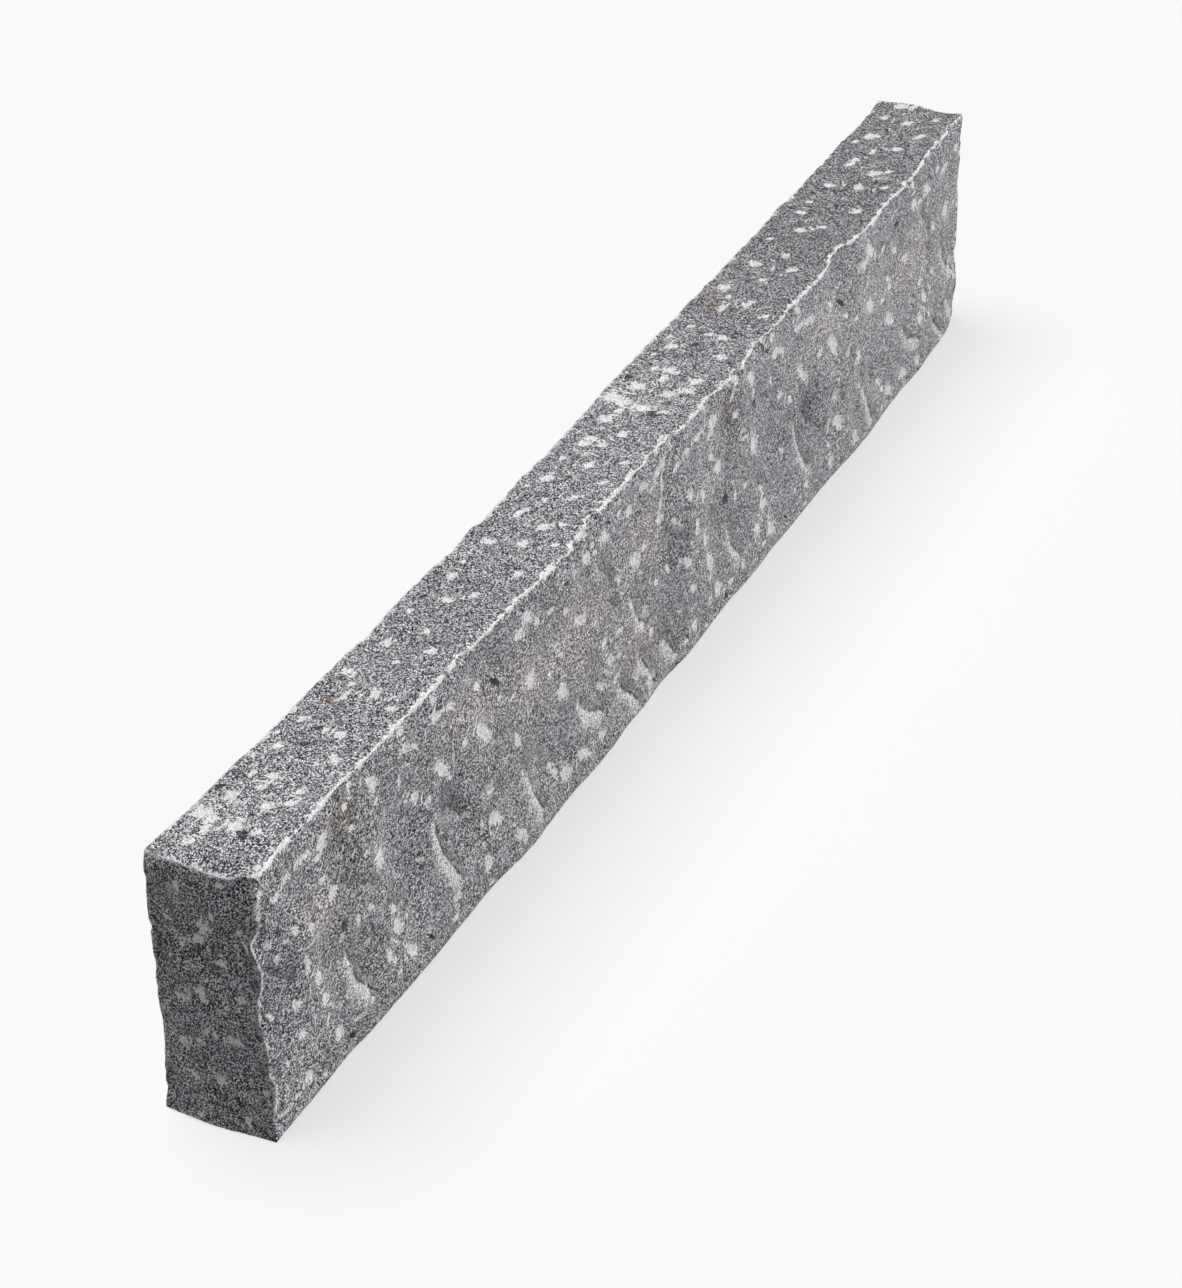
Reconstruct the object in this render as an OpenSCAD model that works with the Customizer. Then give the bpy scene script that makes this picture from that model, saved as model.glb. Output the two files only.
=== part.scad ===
// Granite lawn edging stone.
// One block of dark grey granite, split and then pointed by hand, that stands on its narrow long side.
// Its faces lie in shallow rolls and scallops, its arrises wander and are crushed along their length,
// and the high spots of its bed are dressed to the one plane that it stands on.
// X runs along the stone from the near end to the far end, the front face looks along -Y, and Z is up.
// The origin is the middle of the bed.

/* [Stone] */
// Length of the stone
stone_l = 1000; // [500:10:1500]
// Height of the stone from its bed to its top
stone_h = 150; // [100:5:300]
// Thickness of the stone
stone_t = 60; // [50:2:120]
// How far the middle of the stone bows forward of its ends
bow = 5.5; // [0:0.5:10]

/* [Hewn faces] */
// Height of the broad rolls that splitting leaves
roll_height = 1.2; // [0:0.1:2]
// Distance from one broad roll to the next
roll_pitch = 86; // [60:2:150]
// Height of the lumps that pointing leaves
lump_height = 0.9; // [0:0.1:1.5]
// Distance from one lump to the next
lump_pitch = 33; // [26:1:60]
// Height of the roughness between neighbouring strikes
tooth_height = 0.3; // [0:0.05:0.5]
// Depth of the scallops, as a share of the depths in their lists
scallop_share = 1; // [0:0.1:1.3]
// How much deeper a scallop is on the side where it was struck than on the side where its flake ran out
struck_side = 0.7; // [0:0.1:0.9]

/* [Arrises] */
// How far the arrises wander, as a share of the distances in their lists
wander_share = 1; // [0:0.1:1.3]
// Width of the crushed strip along each side of an arris
arris_w = 3; // [2:0.5:5]
// How far the arris itself is crushed back
arris_crush = 0.8; // [0:0.1:1.2]
// Depth of the knocked corners, as a share of the depths in their list
chip_share = 1; // [0:0.1:1.2]

/* [Bed] */
// How far the high spots of the bed are dressed back
dress_depth = 1.1; // [0.8:0.1:2.5]

/* [Hidden] */
stone_grey = [0.36, 0.37, 0.38];

// Facets that the skin is divided into, and the size of one step of the lattice that gives about that many
skin_facets = 8000;
skin_area = 2 * (stone_l * stone_h + stone_l * stone_t + stone_h * stone_t);
step = sqrt(2 * skin_area / skin_facets);

// The six faces, numbered so that each one reads its own part of the noise
FRONT = 0;
BACK = 1;
TOP = 2;
BED = 3;
NEAR = 4;
FAR = 5;

// The scallops come round again along the stone, in runs: [where a run starts, how far it is drawn out]
runs = [[0, 1], [470, 1.16], [1015, 1]];

// Scallops struck into the front of each run, and swells where the depth is below 0:
// [distance along the run, height above the bed, half length, half width, depth, lean from upright]
front_scallops = [
    [6, 98, 60, 30, 2.2, 0],
    [42, 116, 40, 22, 1.6, 60],
    [46, 92, 44, 14, -1.2, 8],
    [65, 66, 30, 16, 2.8, 21],
    [82, 120, 34, 17, 2.6, 8],
    [101, 43, 30, 16, 4.4, 33],
    [120, 40, 13, 10, 1.8, 40],
    [150, 64, 42, 20, 2.4, 12],
    [150, 104, 40, 28, 1.6, 50],
    [203, 61, 36, 18, 5.4, 30],
    [222, 34, 15, 11, 2.0, 20],
    [240, 136, 34, 26, 4.4, 80],
    [262, 40, 20, 13, 2.2, 35],
    [300, 39, 32, 16, 4.2, 33],
    [322, 36, 16, 11, 2.0, 35],
    [338, 100, 50, 28, 2.0, 70],
    [368, 47, 25, 14, 3.2, 48],
    [420, 26, 20, 12, 2.6, 42],
    [440, 68, 26, 14, 2.8, 30],
    [442, 112, 40, 24, 1.6, 60],
    [450, 23, 18, 10, 2.0, 33],
    [478, 27, 22, 13, 2.8, 37]
];

// Scallops struck into the top of each run: [distance along the run, place across, the rest as above]
top_scallops = [
    [48, 8, 26, 18, 1.4, 40],
    [130, -14, 30, 15, 1.2, 80],
    [215, 12, 34, 16, 1.4, 70],
    [300, -16, 26, 16, 1.6, 60],
    [372, 6, 30, 18, 1.2, 20],
    [450, -8, 32, 18, 1.6, 70]
];

// How far each long arris stands out of the face it bounds, at stations along the stone.
// A station is a thousandth of the length, counted from the near end.
front_top_line = [
    [0, -0.5], [60, -2.0], [130, -2.2], [220, -1.6], [300, -2.2], [345, -1.0], [370, -2.4], [430, -2.8],
    [500, -1.2], [560, -1.6], [590, 0.2], [605, -2.0], [660, -1.2], [735, 1.0], [760, -2.0], [800, 1.2],
    [840, 0.0], [885, 2.4], [930, 0.4], [1000, 1.6]
];
front_foot_line = [
    [0, 3.0], [60, 3.0], [75, 1.8], [95, 3.0], [115, 2.6], [150, 1.6], [220, 2.2], [285, 4.0], [300, 2.4],
    [345, 3.4], [390, 4.0], [450, 2.4], [520, 2.4], [560, 1.2], [590, 3.0], [612, 3.2], [630, 1.6],
    [700, 2.0], [740, 4.4], [770, 7.0], [805, 6.2], [840, 4.8], [870, 4.4], [910, 6.0], [950, 4.4],
    [1000, 2.4]
];
back_top_line = [
    [0, 1.0], [50, 0.4], [110, 0.8], [190, 0.6], [215, 0.2], [250, 0.4], [285, 3.2], [302, -0.4],
    [360, 0.8], [450, 1.0], [480, 3.2], [510, 3.4], [565, 3.6], [650, 3.0], [750, 2.2], [808, 3.6],
    [825, 1.2], [855, 2.2], [900, 1.2], [925, 2.0], [1000, 1.4]
];
// How far the top stands above its height at the front and the back arris
top_front_line = [
    [0, 1.4], [90, 2.0], [240, 1.4], [355, -0.6], [372, 1.2], [470, 1.0], [590, -0.8], [607, 0.8],
    [617, -0.8], [690, 0.8], [738, -1.6], [752, 1.4], [795, -1.8], [885, -1.8], [940, 0.6], [1000, 2.4]
];
top_back_line = [
    [0, 1.6], [60, 2.6], [180, 3.0], [215, 0.8], [290, 1.8], [305, 3.0], [430, 3.4], [520, 2.2],
    [620, 1.8], [790, 1.4], [815, 1.6], [840, 3.0], [880, 2.8], [950, 1.6], [1000, 3.2]
];

// How far the edges of the two ends stand out, at places from the front arris to the back one
// as shares of the thickness, and from the bed to the top as shares of the height
near_top_line = [[0, 1.2], [0.2, 2.0], [0.45, 0.6], [0.7, 1.6], [1, 0.6]];
near_foot_line = [[0, 3.4], [0.3, 4.0], [0.55, 5.4], [0.75, 3.2], [1, 1.0]];
far_top_line = [[0, 1.6], [0.3, 3.4], [0.6, 6.4], [0.8, 5.4], [1, 2.6]];
far_foot_line = [[0, 0.6], [0.4, 1.6], [0.7, 0.2], [1, 0.8]];
// How far each end is hollowed or swells between its foot and its top, up the front arris and the back one
near_front_line = [[0, 0], [0.25, -0.8], [0.5, 0.4], [0.78, -1.6], [0.9, 0.8], [1, 0]];
near_back_line = [[0, 0], [0.2, -2.0], [0.45, -0.6], [0.65, -2.0], [0.88, 1.2], [1, 0]];
far_front_line = [[0, 0], [0.1, -1.0], [0.3, -3.2], [0.5, 2.8], [0.68, 5.0], [0.76, 7.0], [0.84, 0.4], [1, 0]];
far_back_line = [[0, 0], [0.3, 1.0], [0.7, -1.4], [1, 0]];

// Corners knocked off: [near or far, front or back, bed or top, reach, depth]
chips = [
    [1, -1, -1, 22, 3],
    [1, 1, -1, 20, 4]
];

function blend(a, b, share) = a + (b - a) * share;
function ease(share) = share * share * (3 - 2 * share);
function station(x) = 1000 * (x / stone_l + 0.5);

// Even random heights from -1 to 1, the same set each time, and the one that belongs to a lattice place
DICE_COUNT = 1024;
dice = rands(-1, 1, DICE_COUNT, 417);
function throw(i, j, face) =
    let (slot = (i * 37 + j * 101 + face * 211) % DICE_COUNT)
    dice[slot < 0 ? slot + DICE_COUNT : slot];

// Smooth noise from -1 to 1 over one face, with one throw at each corner of its squares
function noise(p, q, pitch, face) =
    let (i = floor(p / pitch), j = floor(q / pitch))
    let (across = ease(p / pitch - i), up = ease(q / pitch - j))
    blend(
        blend(throw(i, j, face), throw(i + 1, j, face), across),
        blend(throw(i, j + 1, face), throw(i + 1, j + 1, face), across),
        up
    );

// Height of the hewn skin at a place on a face
function hewn(p, q, face) =
    roll_height * noise(p, q, roll_pitch, face)
    + lump_height * noise(p, q, lump_pitch, face)
    + tooth_height * noise(p, q, 1.3 * step, face);

// Depth of one scallop: a smooth dish, level at its rim and deepest towards the side where it was struck
function dish(dp, dq, scallop) =
    let (lean = scallop[5])
    let (along = (dp * -sin(lean) + dq * cos(lean)) / scallop[2])
    let (over = (dp * cos(lean) + dq * sin(lean)) / scallop[3])
    let (fall = max(0, 1 - along * along - over * over))
    scallop[4] * fall * ease(fall) * (1 - struck_side * over);

function total(list) = [for (item = list) 1] * list;

// Depth of all the scallops of a list at a place on a face, in every run
function scalloped(p, q, scallops) =
    scallop_share * total([
        for (run = runs, scallop = scallops)
        dish((p + stone_l / 2 - run[0]) / run[1] - scallop[0], q - scallop[1], scallop)
    ]);

// How far the whole stone bows forward at a place along it
function swayed(x) = bow * (1 - pow(2 * x / stone_l, 2));

// How far a face is crushed back at a place this far from the nearest arris
function crushed(near_arris, p, face) =
    arris_crush * max(0, 1 - near_arris / arris_w) * (1 + 0.7 * noise(p, 0, 1.3 * step, face));

function to_edge(place, span) = min(place, span - place);
function side_margin(x, z) = min(to_edge(x + stone_l / 2, stone_l), to_edge(z, stone_h));
function flat_margin(x, y) = min(to_edge(x + stone_l / 2, stone_l), to_edge(y + stone_t / 2, stone_t));
function end_margin(y, z) = min(to_edge(y + stone_t / 2, stone_t), to_edge(z, stone_h));

// Where each face lies, over the place that it has on a true block
function front_at(x, z) =
    let (share = z / stone_h, s = station(x))
    let (line = blend(lookup(s, front_foot_line), lookup(s, front_top_line), share))
    -stone_t / 2 - swayed(x) - wander_share * line
    - hewn(x, z, FRONT) + scalloped(x, z, front_scallops) + crushed(side_margin(x, z), x + z, FRONT);

function back_at(x, z) =
    let (share = z / stone_h, s = station(x))
    let (line = blend(lookup(1000 - s, back_top_line), lookup(s, back_top_line), share))
    stone_t / 2 - swayed(x) + wander_share * line
    + hewn(x, z, BACK) - scalloped(-x, stone_h - z, front_scallops) / 2
    - crushed(side_margin(x, z), x + z, BACK);

function top_at(x, y) =
    let (share = y / stone_t + 0.5, s = station(x))
    let (line = blend(lookup(s, top_front_line), lookup(s, top_back_line), share))
    stone_h + wander_share * line
    + hewn(x, y, TOP) / 2 - scalloped(x, y, top_scallops) - crushed(flat_margin(x, y), x + y, TOP);

function bed_at(x, y) =
    -dress_depth - hewn(x, y, BED) / 2 + scalloped(-x, -y, top_scallops)
    + crushed(flat_margin(x, y), x + y, BED);

// How far an end stands out at a place on it, from the lines round its edge
function end_line(y, z, foot, top, front, back) =
    let (across = y / stone_t + 0.5, up = z / stone_h)
    wander_share * (
        blend(lookup(across, foot), lookup(across, top), up)
        + blend(lookup(up, front), lookup(up, back), across)
    );

function near_at(y, z) =
    -stone_l / 2 - end_line(y, z, near_foot_line, near_top_line, near_front_line, near_back_line)
    - hewn(y, z, NEAR) / 2 + crushed(end_margin(y, z), y + z, NEAR);

function far_at(y, z) =
    stone_l / 2 + end_line(y, z, far_foot_line, far_top_line, far_front_line, far_back_line)
    + hewn(y, z, FAR) / 2 - crushed(end_margin(y, z), y + z, FAR);

// How far the knocked corners move a place towards the middle of the stone
function chipped(x, y, z) =
    chip_share * total([
        for (chip = chips)
        let (corner = [chip[0] * stone_l / 2, chip[1] * stone_t / 2, (1 + chip[2]) * stone_h / 2])
        let (away = norm([x, y, z] - corner) / chip[3])
        -[chip[0], chip[1], chip[2]] / sqrt(3) * chip[4] * pow(max(0, 1 - away), 2)
    ]);

// A place of the true block, moved to where the hewn faces put it
function place(x, y, z) =
    let (along = x / stone_l + 0.5, across = y / stone_t + 0.5, up = z / stone_h)
    [
        blend(near_at(y, z), far_at(y, z), along),
        blend(front_at(x, z), back_at(x, z), across),
        blend(bed_at(x, y), top_at(x, y), up)
    ] + chipped(x, y, z);

// Places of the lattice's cuts across a span: one crushed strip at each end and even steps between them
function cuts(span) =
    let (steps = max(2, round((span - 2 * arris_w) / step)))
    [0, for (i = [0 : steps]) blend(arris_w, span - arris_w, i / steps), span];

xs = [for (cut = cuts(stone_l)) cut - stone_l / 2];
ys = [for (cut = cuts(stone_t)) cut - stone_t / 2];
zs = cuts(stone_h);
last_x = len(xs) - 1;
last_y = len(ys) - 1;
last_z = len(zs) - 1;

// Lattice places round the section: along the bed, up the back, along the top and down the front
rim = [
    for (j = [0 : last_y - 1]) [j, 0],
    for (k = [0 : last_z - 1]) [last_y, k],
    for (j = [last_y : -1 : 1]) [j, last_z],
    for (k = [last_z : -1 : 1]) [0, k]
];
rim_count = len(rim);
function rim_slot(j, k) =
    k == 0 ? j :
    j == last_y ? last_y + k :
    k == last_z ? 2 * last_y + last_z - j :
    2 * (last_y + last_z) - k;

// The skin's points: a ring at each cut along the stone, then the inner places of the near and far ends
points = [
    for (x = xs, slot = rim) place(x, ys[slot[0]], zs[slot[1]]),
    for (i = [0, last_x], j = [1 : last_y - 1], k = [1 : last_z - 1]) place(xs[i], ys[j], zs[k])
];
rings_end = len(xs) * rim_count;
end_count = (last_y - 1) * (last_z - 1);
function ring_point(i, slot) = i * rim_count + slot % rim_count;
function end_point(i, j, k) =
    j == 0 || k == 0 || j == last_y || k == last_z ? ring_point(i, rim_slot(j, k)) :
    rings_end + (i == 0 ? 0 : end_count) + (j - 1) * (last_z - 1) + k - 1;

// A four-sided cell as two facets, cut along one diagonal or the other by turns
function facets(a, b, c, d, turn) = turn % 2 == 0 ? [[a, b, c], [a, c, d]] : [[a, b, d], [b, c, d]];

faces = [
    for (i = [0 : last_x - 1], slot = [0 : rim_count - 1])
        each facets(
            ring_point(i, slot), ring_point(i + 1, slot),
            ring_point(i + 1, slot + 1), ring_point(i, slot + 1), i + slot
        ),
    for (j = [0 : last_y - 1], k = [0 : last_z - 1])
        each facets(
            end_point(0, j, k), end_point(0, j + 1, k),
            end_point(0, j + 1, k + 1), end_point(0, j, k + 1), j + k
        ),
    for (j = [0 : last_y - 1], k = [0 : last_z - 1])
        each facets(
            end_point(last_x, j, k), end_point(last_x, j, k + 1),
            end_point(last_x, j + 1, k + 1), end_point(last_x, j + 1, k), j + k
        )
];

// The hewn block, with all that stands below the bed's plane dressed off
module edging_stone() {
    room = 50;
    color(stone_grey)
        intersection() {
            polyhedron(points, faces);
            translate([-stone_l / 2 - room, -stone_t / 2 - room, 0])
                cube([stone_l + 2 * room, stone_t + 2 * room, stone_h + room]);
        }
}

edging_stone();
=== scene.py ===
"""Granite lawn edging stone.

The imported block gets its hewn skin: the marks where the point bruised it, the flakes that came away,
crushed arrises and the grain of the granite. A pale floor, soft light and a camera go with it."""

import math

import bmesh
import bpy
import numpy as np
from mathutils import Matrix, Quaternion, Vector


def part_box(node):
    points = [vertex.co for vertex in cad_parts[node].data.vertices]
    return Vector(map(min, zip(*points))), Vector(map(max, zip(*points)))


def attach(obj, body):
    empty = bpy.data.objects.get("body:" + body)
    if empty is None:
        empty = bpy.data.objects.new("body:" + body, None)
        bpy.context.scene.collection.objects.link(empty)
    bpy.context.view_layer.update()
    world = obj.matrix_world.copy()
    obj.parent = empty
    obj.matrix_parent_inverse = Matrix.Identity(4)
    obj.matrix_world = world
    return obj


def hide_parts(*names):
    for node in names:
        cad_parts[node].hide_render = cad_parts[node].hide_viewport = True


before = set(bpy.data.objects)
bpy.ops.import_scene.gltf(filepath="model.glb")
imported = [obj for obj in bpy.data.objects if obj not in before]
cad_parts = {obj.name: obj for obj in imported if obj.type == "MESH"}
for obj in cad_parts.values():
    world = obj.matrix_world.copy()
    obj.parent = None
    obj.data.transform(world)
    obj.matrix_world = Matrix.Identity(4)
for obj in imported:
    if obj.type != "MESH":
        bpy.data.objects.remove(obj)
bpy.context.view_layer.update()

bl_info = {
    "name": "Granite Edging Stone",
    "version": (1, 0, 0),
    "blender": (4, 5, 0),
    "location": "View3D > Sidebar > Edging Stone",
    "description": "Dresses a hewn granite lawn edging stone and sets up its floor, light and camera",
    "category": "Object",
}

NODE = "edging_stone"
LOW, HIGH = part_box(NODE)
MM = 0.001

# Places along the stone are counted from here. The stone bows forward by this much at its middle.
START = LOW.x + 5 * MM
BOW = 5.5 * MM

# The least turn between two facets that makes an arris, in radians
SHARP = 0.6

# The way from a flake's lip to its flake on the front, and the way that streaks of the granite run
FLAKE_WAY = (0.81, 0.0, 0.59)
STREAK_WAY = (0.6, 0.0, -0.8)

# How far a mark reaches out of the face that it is on
MARK_THICKNESS = 6 * MM

# The fewest faces that a finished skin has
LEAST_FACES = 10000

# Where each run of marks starts along the stone, how far it is drawn out, and how far it sinks: at its start,
# and for each millimetre along it
RUNS = ((0, 1.0, 0.0, 0.0), (470, 1.16, 1.5, 0.01))

# Bruises on the front of a run, in millimetres:
# along the run, height above the bed, half length, half width, lean from upright in degrees, paleness
FRONT_BRUISES = (
    # under the top arris
    (45, 135, 10, 3, 90, 0.6), (64, 134, 8, 5, 80, 0.8), (59, 127, 5, 3, 90, 0.6),
    (19, 129, 5, 3, 90, 0.5), (30, 133, 6, 3, 80, 0.6), (88, 137, 4, 3, 0, 0.5),
    (94, 146, 4, 4, 60, 0.6), (92, 123, 4, 3, 60, 0.7), (116, 136, 7, 4, 50, 0.8),
    (150, 135, 5, 4, 70, 0.9), (147, 147, 4, 3, 80, 0.7), (160, 131, 6, 3, 60, 0.6),
    (184, 135, 8, 3, 85, 0.9), (200, 132, 7, 3, 75, 0.8), (182, 147, 6, 3, 45, 0.6),
    (145, 118, 5, 2, 10, 0.4), (120, 124, 3, 4, 20, 0.3), (280, 131, 8, 4, 75, 1.0),
    (292, 136, 8, 5, 45, 0.8), (302, 128, 4, 3, 60, 0.6), (366, 133, 7, 4, 60, 0.8),
    (378, 130, 5, 2, 80, 0.5), (393, 133, 8, 4, 80, 1.0), (413, 137, 3, 4, 0, 0.5),
    (428, 131, 6, 4, 80, 0.8), (446, 137, 6, 3, 85, 0.8), (466, 136, 6, 4, 75, 1.0),
    (458, 129, 4, 3, 80, 0.6), (366, 148, 5, 3, 50, 0.6), (235, 128, 6, 3, 60, 0.3),
    (318, 124, 5, 2, 90, 0.4),
    # upper middle
    (71, 101, 5, 4, 60, 0.9), (47, 96, 5, 4, 30, 0.6), (118, 90, 7, 6, 40, 0.9),
    (160, 100, 5, 4, 60, 0.8), (172, 91, 4, 3, 50, 0.8), (188, 101, 12, 4, 42, 1.0),
    (233, 98, 12, 5, 45, 1.0), (32, 103, 4, 4, 0, 0.5), (213, 103, 4, 3, 80, 0.4),
    (291, 97, 8, 6, 60, 0.8), (269, 99, 6, 2, 90, 0.4), (338, 112, 5, 3, 60, 0.8),
    (357, 98, 7, 4, 70, 0.8), (331, 91, 4, 2, 80, 0.6), (315, 88, 4, 2, 80, 0.4),
    (328, 98, 5, 2, 80, 0.4), (407, 98, 5, 3, 60, 0.7), (432, 97, 7, 5, 55, 1.0),
    (470, 105, 5, 4, 60, 1.0), (447, 98, 4, 2, 90, 0.3), (104, 102, 4, 2, 90, 0.3),
    (62, 112, 5, 3, 60, 0.3), (14, 96, 4, 3, 40, 0.3), (254, 108, 4, 2, 70, 0.3),
    # lower middle
    (38, 79, 7, 3, 10, 0.7), (52, 64, 6, 4, 25, 0.8), (27, 62, 8, 3, 55, 0.8), (91, 70, 4, 3, 20, 0.6),
    (238, 60, 8, 4, 55, 1.0), (272, 70, 6, 4, 30, 0.8), (327, 69, 8, 5, 65, 0.9),
    (383, 69, 4, 4, 40, 0.7), (458, 69, 4, 3, 80, 0.5), (406, 66, 4, 2, 80, 0.4),
    (390, 54, 6, 4, 50, 0.9), (442, 56, 5, 5, 50, 1.0), (130, 53, 5, 3, 45, 0.6),
    (56, 46, 6, 4, 40, 0.8), (56, 34, 5, 2, -20, 0.6), (31, 42, 5, 3, 60, 0.8),
    (131, 41, 7, 4, 60, 1.0), (121, 30, 6, 4, 35, 0.8), (240, 40, 11, 5, 48, 1.0),
    (226, 44, 6, 2, 0, 0.5), (379, 43, 6, 4, 60, 0.8), (397, 38, 4, 3, 60, 0.6),
    (309, 32, 4, 3, 60, 0.7), (449, 41, 5, 3, 50, 0.6), (5, 70, 5, 2, 40, 0.4), (14, 36, 4, 2, 60, 0.3),
    (160, 62, 4, 2, 60, 0.3), (104, 70, 4, 2, 60, 0.3),
    # near the foot
    (66, 20, 6, 5, 45, 0.8), (32, 16, 5, 4, 50, 0.9), (8, 10, 5, 2, 85, 0.7), (20, 12, 4, 2, 80, 0.6),
    (84, 15, 5, 2, 85, 0.7), (99, 17, 3, 3, 40, 0.9), (128, 15, 4, 2, 80, 0.7),
    (142, 19, 9, 4, 42, 1.0), (193, 20, 5, 3, 80, 0.8), (230, 17, 5, 5, 40, 0.7),
    (265, 15, 8, 4, 45, 1.0), (325, 18, 8, 5, 50, 0.8), (349, 17, 9, 4, 60, 1.0),
    (374, 15, 8, 4, 55, 0.8), (451, 13, 3, 4, 0, 0.5), (313, 25, 4, 3, 50, 0.7), (48, 6, 4, 2, 80, 0.4),
    (190, 8, 5, 2, 80, 0.3), (226, 30, 4, 2, 20, 0.4),
    # along the upright arris
    (3, 139, 5, 2, -5, 0.9), (2, 127, 6, 2, 5, 1.0), (2, 114, 5, 2, 0, 0.8),
)

# Bruises on the top of a run: along the run, place across, then as above with the lean from straight across
TOP_BRUISES = (
    (40, 23, 8, 5, 90, 0.8), (38, 15, 6, 5, 90, 0.5), (16, 15, 5, 4, 80, 0.8), (28, 13, 4, 3, 90, 0.9),
    (58, 16, 5, 5, 60, 0.8), (37, 2, 6, 5, 90, 0.9), (70, 6, 5, 3, 90, 0.5), (80, 6, 4, 5, 40, 0.7),
    (57, -4, 5, 4, 60, 0.9), (36, -11, 3, 3, 30, 0.4), (63, -14, 4, 4, 30, 0.5),
    (74, -13, 4, 5, 0, 0.5), (105, 18, 4, 3, 60, 0.8), (106, -14, 4, 5, 30, 0.5),
    (116, 24, 3, 2, 60, 0.6), (79, 16, 4, 2, 80, 0.6), (132, 18, 4, 3, 60, 0.4),
    (127, 3, 3, 2, 90, 0.6), (127, -5, 4, 4, 40, 0.7), (158, 10, 6, 3, 80, 0.5),
    (168, -3, 5, 3, 90, 0.9), (158, -18, 4, 3, 20, 0.5), (182, 20, 5, 4, 70, 0.7),
    (172, 12, 3, 2, 90, 0.6), (218, 16, 4, 4, 40, 0.9), (218, -10, 5, 3, 60, 0.8),
    (236, 2, 5, 3, 80, 1.0), (268, 7, 4, 4, 60, 0.9), (279, -4, 5, 3, 60, 0.5),
    (291, 16, 3, 4, 30, 1.0), (305, 17, 3, 2, 60, 0.5), (331, 14, 4, 4, 50, 0.9),
    (308, -15, 4, 3, 60, 0.8), (337, -4, 3, 5, 0, 0.8), (359, -6, 5, 4, 60, 0.9),
    (366, 13, 6, 3, 80, 0.7), (372, 12, 4, 3, 60, 0.6), (365, -14, 3, 3, 60, 0.5),
    (386, 6, 4, 2, 90, 0.7), (408, 15, 6, 4, 70, 0.9), (396, -8, 5, 3, 60, 0.6),
    (418, -15, 5, 3, 60, 0.8), (433, 0, 5, 3, 80, 0.8), (434, 17, 3, 3, 60, 0.5),
    (445, -16, 4, 3, 60, 0.6), (455, 14, 6, 4, 70, 0.8), (464, 13, 4, 4, 50, 0.8),
    (459, 4, 6, 3, 80, 0.5), (475, -1, 5, 4, 60, 0.6), (10, -26, 4, 2, 90, 0.5),
    (93, 24, 3, 2, 80, 0.4), (200, 2, 3, 2, 60, 0.3), (250, 20, 3, 2, 60, 0.3),
    (395, 22, 3, 2, 60, 0.3), (345, -20, 4, 2, 60, 0.3),
)

# Bruises on the near end: place across, height above the bed, then as above
NEAR_BRUISES = (
    (0, 117, 4.5, 3, 70, 0.9), (3, 109, 3, 3.5, 20, 0.7), (13, 104, 3, 2, 0, 0.5),
    (-8, 98, 3, 2, 60, 0.9), (-8, 103, 2, 1.5, 60, 0.5), (-5, 124, 3, 1.5, 0, 0.5),
    (-11, 146, 3, 2, 80, 0.8), (12, 139, 4.5, 2, 10, 0.5), (4, 79, 4, 3, 30, 0.8),
    (2, 74, 2, 2, 60, 0.9), (18, 73, 3, 2, 60, 1), (-18, 80, 3, 3, 60, 1), (-13, 54, 5, 3, 70, 1),
    (-2, 54, 3, 2, 0, 0.5), (7, 49, 3, 2, 80, 0.8), (17, 45, 4, 3.5, 40, 0.6), (-4, 29, 3, 3, 40, 1),
    (12, 27, 4, 2, 60, 0.8), (-18, 9, 3, 3, 60, 0.7), (9, 5, 3, 2, 60, 0.5), (-20, 117, 2, 2, 0, 0.8),
    (-24, 110, 3, 1.5, 0, 0.5), (-28, 27, 3, 2, 0, 0.6), (20, 118, 2, 2, 0, 0.5),
)

# Flakes struck off the front of a run: how deep the step is, how pale its lip is, and the line that the lip
# follows, as places along the run and heights above the bed. The flake ran out to the upper right of its lip.
FLAKES = (
    (1.4, 1.0, ((80, 54), (82, 45), (87, 35), (94, 26))),
    (1.8, 1.0, ((176, 73), (178, 62), (183, 51), (189, 40), (194, 31))),
    (1.1, 0.9, ((273, 52), (279, 40), (284, 28), (291, 14))),
    (1.2, 1.0, ((348, 49), (354, 40), (362, 33), (373, 29))),
    (1.1, 0.9, ((403, 29), (410, 21), (418, 13), (422, 8))),
    (0.9, 0.8, ((424, 74), (428, 63), (434, 53), (440, 50))),
    (0.9, 0.9, ((432, 30), (439, 21), (445, 13), (447, 7))),
    (1.1, 0.9, ((463, 28), (470, 20), (476, 11))),
    (0.9, 0.2, ((380, 116), (386, 110), (391, 104), (394, 98))),
    (0.6, 0.1, ((390, 90), (396, 85), (401, 80))),
    (0.8, 0.2, ((78, 98), (87, 90), (96, 85), (105, 80))),
    (1.0, 0.3, ((184, 78), (191, 71), (197, 66), (201, 60))),
    (0.7, 0.2, ((122, 58), (131, 51), (141, 47))),
    (0.7, 0.2, ((228, 61), (236, 56), (244, 54))),
    (0.6, 0.1, ((4, 92), (12, 84), (21, 76))),
)

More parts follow.
